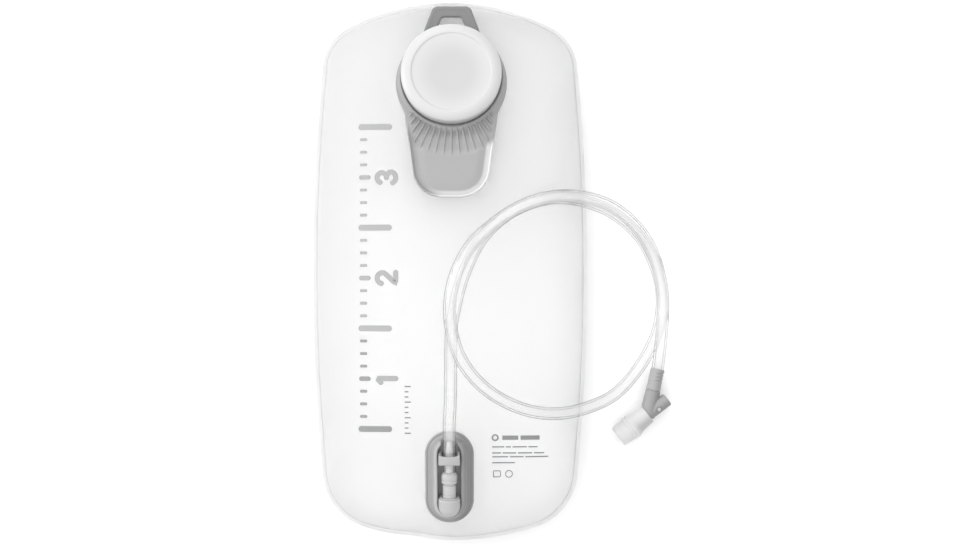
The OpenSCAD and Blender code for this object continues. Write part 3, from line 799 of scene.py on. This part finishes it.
def cap_profile():
    pts = [(CAP_IN, CAP_LOW, 0.3), (CAP_R - 0.7, CAP_LOW, 0.5), (CAP_R, CAP_TOP - 5.2, 1.2)]
    for a in range(0, 91, 10):
        c, s = polar(1, a)
        pts.append((CAP_R - SHOULDER_R * (1 - c * (1 - 0.22 * s)), CAP_TOP - SHOULDER_H * (1 - s), 0))
    pts += [(30.1, CAP_TOP - 0.05, 0.4), (29.4, CAP_TOP - 0.75, 0.4), (27.5, CAP_TOP - 0.85, 0.5),
            (14, CAP_TOP - 1.1, 0), (0.01, CAP_TOP - 1.2, 0), (0.01, CAP_UNDER, 0), (CAP_IN, CAP_UNDER, 0.4)]
    return pts


paint(lathe("screw_cap", cap_profile(), NECK, n=160, steps=4), CAP, "cap", "cap", "cap_shell")


def handle_painted_light(obj):
    """Painted highlight on the rim along the tongue's right side and end, and a painted shadow in a band
    under the cap's edge.
    """
    x, y, _ = local_mm(obj, NECK)
    depth = depth_in(HANDLE_LINE, x, y)
    right = smoothstep((x - 14) / 9) * smoothstep((-47 - y) / 8)
    end = smoothstep((-76 - y) / 9) * smoothstep((x + 20) / 16)
    highlight = 0.6 * smoothstep((5.4 - depth) / 1.6) + 0.6 * smoothstep((1.9 - depth) / 1.2)
    painted_light = 1 + np.maximum(right, end) * highlight
    # Painted shadow under the cap's edge.
    return painted_light * (0.3 + 0.7 * smoothstep((np.hypot(x, y) - 37.9) / 1.0))


set_painted_light(grip, HANDLE, handle_painted_light(grip))

# ---- port
PLATE_R = 18.2
POCKET_GROWTH, POCKET_SHIFT = 1.8, 1.1
TROUGH_R = 6.4


def stadium_ring(r, half, mid, z, n_arc=44, n_side=16):
    arc = [pi * i / n_arc for i in range(n_arc)]
    pts = [(r * cos(a), mid + half + r * sin(a), z) for a in arc]
    pts += [(-r, mid + half - 2 * half * i / n_side, z) for i in range(n_side)]
    pts += [(r * cos(pi + a), mid - half + r * sin(pi + a), z) for a in arc]
    pts += [(r, mid - half + 2 * half * i / n_side, z) for i in range(n_side)]
    return pts


def port_base():
    # Radius, height, and blend from the plate's oval to the pocket's. The plate's radii run in from its edge.
    plate = [(0.4, 0.0, 0), (0.05, 0.25, 0), (0, 0.6, 0), (0.1, 1.1, 0), (0.45, 1.5, 0), (0.9, 1.6, 0),
             (1.35, 1.52, 0), (1.55, 1.2, 0), (1.8, 1.15, 0), (2.0, 1.45, 0), (2.4, 1.72, 0), (2.75, 1.9, 0),
             (3.1, 2.2, 0), (3.5, 3.0, 0.05), (3.9, 4.0, 0.1), (4.15, 4.35, 0.15), (4.4, 4.45, 0.2),
             (4.7, 4.95, 0.3)]
    pocket = [(12.9, 6.6, 0.5), (12.3, 8.0, 0.7), (11.75, 9.0, 0.85), (11.3, 9.5, 1), (10.7, 9.85, 1),
              (10.1, 10.0, 1), (9.5, 9.9, 1), (9.05, 9.55, 1), (8.8, 9.0, 1), (8.7, 8.2, 1), (8.7, 3.0, 1),
              (8.62, 1.6, 1), (8.4, 1.1, 1), (7.9, 0.92, 1), (6.0, 0.9, 1), (2.0, 0.9, 1), (0.01, 0.9, 1)]
    rows = [(0.01, 0.0, 0), (9.0, 0.0, 0)] + [(PLATE_R - inset, z, w) for inset, z, w in plate] + pocket
    obj = looped("port_body", [stadium_ring(r, PORT_HALF + POCKET_GROWTH * w, POCKET_SHIFT * w, z)
                               for r, z, w in rows], PORT)
    boolean(obj, rod(TROUGH_R, 20, 50, PLUG))
    boolean(obj, box((-TROUGH_R, 20, PLUG_H), (TROUGH_R, 50, 30), PORT))
    boolean(obj, rod(4.63, -1, 2.6, PORT @ shift(0, -26, 0)))
    modify(obj, "BEVEL", width=0.35 * MM, segments=2, limit_method="ANGLE", angle_limit=radians(50))
    return obj


BLOCK_R, BLOCK_Y, BLOCK_FRONT = 8.3, -19.2, -14.3


def port_socket():
    """Rounded valve block at the pocket's lower end, with the plug's bore and a lip round its mouth."""
    bow = [(x, BLOCK_Y + y, 0) for x, y in (polar(BLOCK_R, a) for a in range(0, -181, -6))]
    plan = rounded(bow + [(-BLOCK_R, BLOCK_FRONT, 0.9), (BLOCK_R, BLOCK_FRONT, 0.9)], 0, 5)
    plan = resample(plan, 144, -pi / 2)
    middle = np.array((0, -20.5))
    foot = [(6.0, 1.0), (0.3, 1.0), (0, 1.3), (0, 5.0)]
    crest = [(0, 1.6), (0.12, 1.0), (0.4, 0.5), (0.8, 0.2), (1.4, 0.02), (2.2, 0), (3.4, 0), (5.2, 0),
             (7.0, 0), (8.1, 0)]
    rings = []
    for k, (inset, level) in enumerate(foot + crest):
        q = middle + (plan - middle) * (1 - inset / BLOCK_R)
        arch = PLUG_H + np.sqrt(np.maximum(0, 8.8 ** 2 - q[:, 0] ** 2))
        arch = arch - 2.0 * smoothstep((-23 - q[:, 1]) / 5)
        rings.append(np.column_stack((q, np.full(len(q), level) if k < len(foot) else arch - level)))
    obj = capped("valve_socket", rings, PORT)
    boolean(obj, rod(5.18, -20.9, -10, PLUG))
    boolean(obj, rod(4.4, -26.4, -21.8, PLUG, n=32))
    boolean(obj, rod(3.0, -22, -17, PLUG, n=32))
    boolean(obj, lathe("lip", [(5.3, -14.6), (7.0, -14.6), (7.4, -14.0), (7.0, -13.5), (5.9, -13.5),
                               (5.3, -14.1)], PLUG, r=0.2), "UNION")
    return obj


STRAP_HALF, STRAP_LOW, STRAP_LENGTH, STRAP_Y = 7.9, 2.7, 7.7, 13.1
STRAP_TOP_R, STRAP_BOW = 22, 1.1


def release_button():
    """Strap over the hose: arched top with rounded edges, two legs with hooks."""
    across = np.linspace(-STRAP_HALF, STRAP_HALF, 41)
    arched = [(x, -4.5 + sqrt(STRAP_TOP_R ** 2 - x * x)) for x in across]
    leg = [(STRAP_HALF, STRAP_LOW + 0.5), (STRAP_HALF - 0.5, STRAP_LOW), (5.9, STRAP_LOW),
           (5.6, STRAP_LOW + 0.4), (5.62, 4.4)]
    leg += [(x, PLUG_H + z) for x, z in (polar(TROUGH_R, a) for a in range(-28, 1, 7))]
    leg += [(6.4, 13.4), (5.2, 15.0), (4.0, 15.5)]
    line = np.array(arched + leg + [(-x, z) for x, z in leg[::-1]])
    ends = [(0, 0.45), (0.12, 0.2), (0.35, 0.05), (0.7, 0)]
    rings = []
    for t, inset in ends + [(STRAP_LENGTH - t, inset) for t, inset in ends[::-1]]:
        # The line runs clockwise, so its normals point inwards. The strap's ends bow in at the middle.
        q = line + outward(line) * inset
        bow = STRAP_BOW * (1 - (q[:, 0] / STRAP_HALF) ** 2) * smoothstep((q[:, 1] - 12.5) / 2.0)
        y = STRAP_Y + t + (-bow if t > STRAP_LENGTH / 2 else 0.4 * bow)
        rings.append(np.column_stack((q[:, 0], y, q[:, 1])))
    return capped("release_strap", rings, PORT)


def plug():
    nose = [(2.2, -20.68, 0.2), (4.6, -20.68, 0.2), (5.1, -20.2, 0.3), (5.1, -18.6, 0.15), (3.7, -18.6, 0),
            (3.7, -16.2, 0), (5.1, -16.2, 0.15), (5.1, -12.2), (4.85, -12.0), (4.85, -11.2),
            (5.1, -11.0), (5.1, -4.4, 0.3)]
    collar = [(4.4, -3.9, 0.2), (4.4, -3.0, 0.2), (5.5, -2.8, 0.3), (6.0, -2.0, 0.5), (6.0, -0.6, 0.15),
              (5.7, -0.4), (5.7, 0.3), (6.0, 0.5, 0.15), (6.0, 3.2, 0.8), (5.0, 5.2, 0.8),
              (3.4, 5.8, 0.4), (2.7, 5.9, 0.2)]
    barb = [(2.7, 9), (3, 9.4), (2.5, 12), (3, 12.4), (2.5, 15), (3, 15.4),
            (2.5, 18, 0.2), (2.5, 20.4, 0.2), (3, 20.9, 0.2), (1.55, 29, 0.2), (1.1, 29.2), (1.1, 26, 0),
            (2.2, 18, 0)]
    return lathe("hose_plug", nose + collar + barb, PLUG, n=72, r=0.1)


def port_painted_light(obj):
    """Painted highlight on the pocket's left crest, and painted shade on the right bank."""
    x, y, z = local_mm(obj, PORT)
    out = np.hypot(x, y - np.clip(y, -18.5, 19.5))
    crest = bell(out, 10.2, 1.3) * smoothstep((z - 7) / 2)
    bank = smoothstep((x - 2) / 8) * smoothstep((out - 8.4) / 1.5)
    return 1 + 0.45 * crest * smoothstep((1 - x) / 6) - 0.24 * bank


port = paint(port_base(), PORT_M, "port", "reservoir", "port_base")
set_painted_light(port, PORT_M, port_painted_light(port))
paint(port_socket(), SOCKET, "socket", "reservoir", "port_socket")
paint(release_button(), BUTTON, "button", "button", "release_button")
plug_piece = paint(plug(), PLUG_M, "plug", "hose_line", "plug_body")


# ---- bite valve
NOTCHES = (12.6, 9.9, 7.2)
NOTCH_DEPTH, NOTCH_HALF, NOTCH_SIDE, NOTCH_SLANT = 0.58, 0.5, 122, 105


def sleeve_radius(r, z, a):
    """Three slanted notches on the outer side."""
    if r <= 5.0:
        return r
    away = abs((a - radians(NOTCH_SIDE) + pi) % TAU - pi)
    side = smoothstep((radians(80) - away) / radians(30))
    slant = z + 0.9 * cos(a - radians(NOTCH_SLANT))
    return r - NOTCH_DEPTH * side * sum(exp(-((slant + c) / NOTCH_HALF) ** 4) for c in NOTCHES)


def sleeve():
    """Strain relief with notches on its outer side and two rings at its foot."""
    prof = [(4.8, -16.4), (5.15, -16.4, 0.15), (5.45, -15.6, 0.3), (5.4, -14.2, 0.4), (5.45, -9.5, 0),
            (5.42, -6.2, 0), (5.4, -5.0, 0.2), (5.3, -4.75), (5.42, -4.5), (5.5, -3.9),
            (5.38, -3.65), (5.52, -3.4), (5.62, 0, 0.15), (4.8, 0, 0)]
    prof = rounded(prof, 0.1, 3)
    dense = []
    for i, p in enumerate(prof):
        q = prof[(i + 1) % len(prof)]
        steps = max(1, int(abs(q[1] - p[1]) / 0.18)) if min(p[0], q[0]) > 5.0 else 1
        dense += [(p[0] + (q[0] - p[0]) * k / steps, p[1] + (q[1] - p[1]) * k / steps) for k in range(steps)]
    obj = swept("strain_relief", dense, STEM @ shift(0, 0, -0.1), 96, sleeve_radius)
    shade(obj, 60)
    return obj


def elbow():
    """Stem and barrel melted into each other, bored for the swivel and the core."""
    obj = lathe("valve_elbow", [(0.001, 0.15), (5.75, 0.15), (5.8, 6), (6.1, 14), (6.2, 19.5), (5.4, 21.5),
                                (0.001, 22)], STEM, r=0.25)
    boolean(obj, lathe("barrel", [(0.001, -19.3), (4.4, -19.3), (5.2, -18.5), (5.2, -0.6), (0.001, -0.6)],
                       BARREL, r=0.5), "UNION")
    boolean(obj, box((-30, -30, -60), (30, 30, -0.5), BARREL), "INTERSECT")
    modify(obj, "REMESH", mode="VOXEL", voxel_size=0.22 * MM)
    modify(obj, "SMOOTH", iterations=7, factor=0.6)
    boolean(obj, rod(4.85, -1, 0.9, STEM))
    boolean(obj, rod(3.68, -1, 8, STEM))
    boolean(obj, rod(2.0, 7, 16, STEM, n=32))
    boolean(obj, rod(3.93, -17.6, 3, BARREL))
    pin = BARREL @ shift(0, 0, -9.2) @ turn(156, "Z") @ turn(90, "Y")
    boolean(obj, rod(2.15, 4.45, 9, pin, n=48))
    boolean(obj, rod(1.03, 0, 9, pin, n=32))
    shade(obj, 35)
    return obj


def sheath_radius(r, z, a):
    """The mouth end is pressed a little flat, with a shallow hollow on both faces."""
    if r <= 6:
        return r
    return r * (1 - (0.10 * cos(a) ** 2 + 0.035 * cos(2 * a) ** 2) * smoothstep((z - 16.5) / 10))


def bite_sheath():
    outer = [(4.25, -0.3, 0.1), (6.7, -0.3, 0.3), (7.2, 0.5, 0.5), (7.6, 6, 0), (8.15, 10.6, 0.6),
             (8.9, 12.3, 0.5), (9.45, 13.2, 0.3), (9.8, 14.2, 0.3), (9.8, 15.4, 0.3), (9.2, 16.0, 0.2),
             (9.2, 16.5), (9.65, 17.0, 0.3), (9.6, 18.0, 0.4), (9.2, 18.8, 0.5), (8.9, 23, 0),
             (8.6, 27.4, 0.8), (7.9, 28.5, 0.6), (4.5, 28.0, 1.2), (0.3, 27.4, 0)]
    inner = [(0.3, 26.6, 0), (5.2, 25.2, 1), (5.8, 23.0, 0.6), (5.8, 14.4, 0), (4.9, 13.9, 0), (4.9, 10, 0),
             (4.25, 9.4, 0)]
    obj = swept("valve_sheath", rounded(outer + inner, 0.2, 4), BARREL, 112, sheath_radius)
    boolean(obj, box((-0.2, -4.5, 22), (0.2, 4.5, 30), BARREL))
    return obj


sleeve_piece = paint(sleeve(), SLEEVE, "sleeve", "hose_line", "hose_sleeve")
elbow_piece = paint(elbow(), VALVE, "valve", "elbow", "elbow_body")
bite = paint(bite_sheath(), BITE, "bite", "core", "bite_sheath")

# Which way each piece's painted shaded side faces, flat on the floor, and half the width of the change.
STEM_SHADE_SIDE = (STEM, (0.98, 0.2), 6)
BARREL_SHADE_SIDE = (BARREL, (0.6, -0.8), 5)


def painted_side_light(obj, facing, light, shaded):
    """Painted light and shade: paler on one side of a round piece and deeper on the other."""
    matrix, side, half = facing
    x, y, _ = local_mm(obj, matrix)
    turned = matrix.inverted().to_3x3() @ Vector((*side, 0))
    turned = turned.normalized()
    return light + (shaded - light) * smoothstep((x * turned[0] + y * turned[1] + half) / (2 * half))


# Painted light and shade on the stem and the barrel.
def elbow_painted_light(obj):
    x, y, _ = local_mm(obj, BARREL)
    on_barrel = smoothstep((6.2 - np.hypot(x, y)) / 1.2)
    return (painted_side_light(obj, STEM_SHADE_SIDE, 1.12, 0.72) * (1 - on_barrel)
            + painted_side_light(obj, BARREL_SHADE_SIDE, 1.1, 0.74) * on_barrel)


# Painted shade on one side of the sheath's lower half.
def bite_painted_light(obj):
    _, _, z = local_mm(obj, BARREL)
    return 1 + (painted_side_light(obj, BARREL_SHADE_SIDE, 1.02, 0.72) - 1) * smoothstep((15 - z) / 4)


# Painted light and shade on the strain relief, the elbow and the sheath.
set_painted_light(sleeve_piece, SLEEVE, painted_side_light(sleeve_piece, STEM_SHADE_SIDE, 1.15, 0.74))
set_painted_light(elbow_piece, VALVE, elbow_painted_light(elbow_piece))
set_painted_light(bite, BITE, bite_painted_light(bite))

# ---- prints
PRINT_LIFT, PRINT_T, LAYER_LIFT = 0.10, 0.07, 0.1
BAR_STEP = 2.5
FILM_TREE = BVHTree.FromPolygons([v.co.copy() for v in front.data.vertices],
                                 [tuple(p.vertices) for p in front.data.polygons])


def on_film(x, y, lift):
    """Point on the front film at x, y in millimetres, that much proud of it."""
    hit, normal, _, _ = FILM_TREE.ray_cast(Vector((x * MM, y * MM, 0.2)), Vector((0, 0, -1)))
    if normal.z < 0:
        normal = -normal
    return (hit + normal * lift * MM) / MM


class Print:
    """Flat mesh that is drawn in the plane and then laid on the front film."""

    def __init__(self):
        self.verts, self.faces, self.lift = [], [], 0

    def grid(self, rows):
        """Adds quads between rows of points, each row's points from right to left of the way along."""
        base, n = len(self.verts), len(rows[0])
        self.verts += [(*p, self.lift) for row in rows for p in row]
        for j in range(len(rows) - 1):
            for i in range(n - 1):
                a = base + j * n + i
                self.faces.append((a, a + n, a + n + 1, a + 1))

    def stroke(self, path, width, step=1.6, across=4):
        """Adds a round-ended stroke along a path of points."""
        p = np.array(path, float)
        n = max(2, int(run_of(p)[-1] / step) + 1)
        q = evenly(p, n)
        d = np.gradient(q, axis=0)
        d /= np.linalg.norm(d, axis=1)[:, None]
        h = width / 2
        ends = [(u, h * sqrt(max(0.0, 1 - u * u)) + 0.02) for u in np.linspace(0, 1, 6)]
        spine = [(q[0] - d[0] * h * u, d[0], hh) for u, hh in ends[:0:-1]]
        spine += [(c, dd, h) for c, dd in zip(q, d)]
        spine += [(q[-1] + d[-1] * h * u, d[-1], hh) for u, hh in ends[1:]]
        self.grid([[c + np.array((-dd[1], dd[0])) * hh * (2 * k / across - 1) for k in range(across + 1)]
                   for c, dd, hh in spine])

    def bar(self, x0, y0, x1, y1):
        """Adds a plain rectangle."""
        nx, ny = (max(1, round(abs(b - a) / BAR_STEP)) for a, b in ((x0, x1), (y0, y1)))
        self.grid([[(x0 + (x1 - x0) * i / nx, y0 + (y1 - y0) * j / ny) for j in range(ny + 1)]
                   for i in range(nx + 1)])

    def lay(self, name, mat):
        obj = new_mesh(name, [on_film(x, y, PRINT_LIFT + lift) for x, y, lift in self.verts], self.faces)
        edit(obj, face_outwards)
        up = sum(p.normal.z for p in obj.data.polygons) > 0
        modify(obj, "SOLIDIFY", thickness=PRINT_T * MM, offset=-1 if up else 1)
        paint(obj, mat, "film", "reservoir")


def arc_pts(cx, cy, rx, ry, a0, a1, n=18):
    turned = [polar(1, a0 + (a1 - a0) * i / n) for i in range(n + 1)]
    return [(cx + rx * c, cy + ry * s) for c, s in turned]


# Plain numerals 1, 2 and 3 as strokes in a cell 0.6 wide and 1 high.
NUMERALS = (
    [[(0.12, 0.78), (0.32, 0.97), (0.32, 0.03)]],
    [arc_pts(0.3, 0.70, 0.27, 0.27, 170, -25) + [(0.03, 0.03), (0.58, 0.03)]],
    [arc_pts(0.28, 0.735, 0.25, 0.235, 160, -90), arc_pts(0.28, 0.265, 0.28, 0.235, 90, -160)])
SCALE_X, SCALE_LOW, SCALE_HIGH = -66, -118.0, 108.0
SCALE_STEPS, LITRE_STEPS, LOW_STEPS = 24, 8, 8
# Length and width of a litre's tick, a half litre's and the others.
LITRE_TICK, HALF_TICK, TICK = (21, 4.4), (5.5, 3.4), (3.5, 2.2)
DIGIT_X, DIGIT_DROP, DIGIT_H, DIGIT_W = -39.5, 4.5, 15, 3.9


def scale_y(step):
    return SCALE_LOW + (SCALE_HIGH - SCALE_LOW) * step / SCALE_STEPS


def fill_scale():
    """Ladder of ticks up to three litres, with numerals that read upwards."""
    ink = Print()
    for i in range(SCALE_STEPS + 1):
        if i == LOW_STEPS:
            ink.lay("print_scale_low", PRINT_LOW)
            ink = Print()
        length, width = TICK if i % 4 else HALF_TICK if i % LITRE_STEPS else LITRE_TICK
        ink.stroke([(SCALE_X, scale_y(i)), (SCALE_X + length, scale_y(i))], width)
    ink.lay("print_scale", PRINT)
    ink = Print()
    for k, strokes in enumerate(NUMERALS):
        y = scale_y(LITRE_STEPS * k + 4) - DIGIT_DROP
        for layer, path in enumerate(strokes):
            ink.lift = LAYER_LIFT * layer
            ink.stroke([(DIGIT_X - v * DIGIT_H, y + u * DIGIT_H) for u, v in path], DIGIT_W)
    ink.lay("print_numerals", PRINT)


SIDE_TICKS, SIDE_X, SIDE_Y, SIDE_PITCH = 10, -33.4, -121.5, 3.9
LINE_HALF = 0.45
# Plain bars in place of lines of text: height, and where each bar starts and ends.
BLOCK_LINES = (
    (-131.4, ((32, 41), (42.2, 46), (47.3, 58), (59.2, 66))),
    (-136.0, ((32, 38.5), (39.8, 50), (51.4, 62), (63.3, 71))),
    (-138.9, ((32, 44), (45.2, 55.5), (56.8, 74))),
    (-143.4, ((32, 49),)))


def small_prints():
    ink = Print()
    for k in range(SIDE_TICKS):
        y = SIDE_Y + SIDE_PITCH * k
        ink.bar(SIDE_X, y, SIDE_X + (2.8 if k % 3 else 4.6), y + 0.9)
    ink.lay("print_side_ticks", PRINT_DARK)
    ink = Print()
    ink.stroke(arc_pts(34.2, -124.4, 2.1, 2.1, 0, 350, 30), 1.2, step=0.8, across=2)
    for x0, x1 in ((39.5, 51.5), (53.2, 67.5)):
        ink.bar(x0, -126.1, x1, -122.9)
    ink.lay("print_block_head", PRINT_DARK)
    ink = Print()
    for y, spans in BLOCK_LINES:
        for x0, x1 in spans:
            ink.bar(x0, y - LINE_HALF, x1, y + LINE_HALF)
    # Two plain pictograms: a square tray and a round dish.
    tray = [(33, -154.2), (33, -149.6), (38.2, -149.6), (38.2, -154.2), (33, -154.2)]
    ink.stroke(tray, 0.7, step=0.9, across=2)
    ink.stroke(arc_pts(44.6, -151.9, 2.6, 2.6, 0, 350, 30), 0.7, step=0.8, across=2)
    ink.lay("print_block_lines", PRINT_DARK)


fill_scale()
small_prints()

# ---- CAD nodes that are kept
KEEP = ((NECK_M, "neck_ring"), (SOCKET, "port_inlet"), (STEEL, "button_spring", "poppet_spring"),
        (SEAL, "cap_gasket", "plug_oring", "swivel_oring", "core_orings"),
        (CORE, "shutoff_poppet", "swivel_barb", "stop_pin", "valve_core"))
for mat, *names in KEEP:
    for name in names:
        wear(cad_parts[name], mat)

# ---- floor and lights
FLOOR_HALF, FLOOR_DROP, FLOOR_GLOW = 7000, 0.2, 0.09
KEY_W, TOP_W = 23, 12
SKY_LEVEL, SKY_OVERHEAD = 0.34, 1.58


def floor():
    """White floor that glows a little, so that it stays white in the model's shade."""
    h = FLOOR_HALF
    obj = new_mesh("floor", [(-h, -h, 0), (h, -h, 0), (h, h, 0), (-h, h, 0)], [(0, 1, 2, 3)],
                   shift(0, 0, -FLOOR_DROP))
    wear(obj, material("floor_white", 0.9, rough=0.7, bump=0.0, mottle=0.003,
                       Emission_Color=(1, 1, 1, 1), Emission_Strength=FLOOR_GLOW))


def area(name, loc, size, power):
    """Square light that points at the origin."""
    light = bpy.data.lights.new(name, "AREA")
    light.energy = power
    light.size = size
    obj = bpy.data.objects.new(name, light)
    obj.location = loc
    obj.rotation_euler = (-Vector(loc)).to_track_quat("-Z", "Y").to_euler()
    scene.collection.objects.link(obj)


def sky():
    """White surround that is brightest overhead, like a soft tent."""
    world = bpy.data.worlds.new("world")
    world.use_nodes = True
    tree = world.node_tree
    toward = add_node(tree, "ShaderNodeTexCoord").outputs["Generated"]
    split = add_node(tree, "ShaderNodeSeparateXYZ", {"Vector": toward})
    rise = add_node(tree, "ShaderNodeMapRange", {"Value": split.outputs["Z"]}, From_Min=0.0, From_Max=1.0,
                    To_Min=SKY_LEVEL, To_Max=SKY_OVERHEAD)
    set_sockets(tree.nodes["Background"], {"Color": (1, 1, 1, 1)})
    tree.links.new(rise.outputs["Result"], tree.nodes["Background"].inputs["Strength"])
    scene.world = world


floor()
area("key", (-2.2, 0.6, 1.0), 1.0, KEY_W)
area("top", (-0.4, 2.0, 1.1), 1.2, TOP_W)
sky()
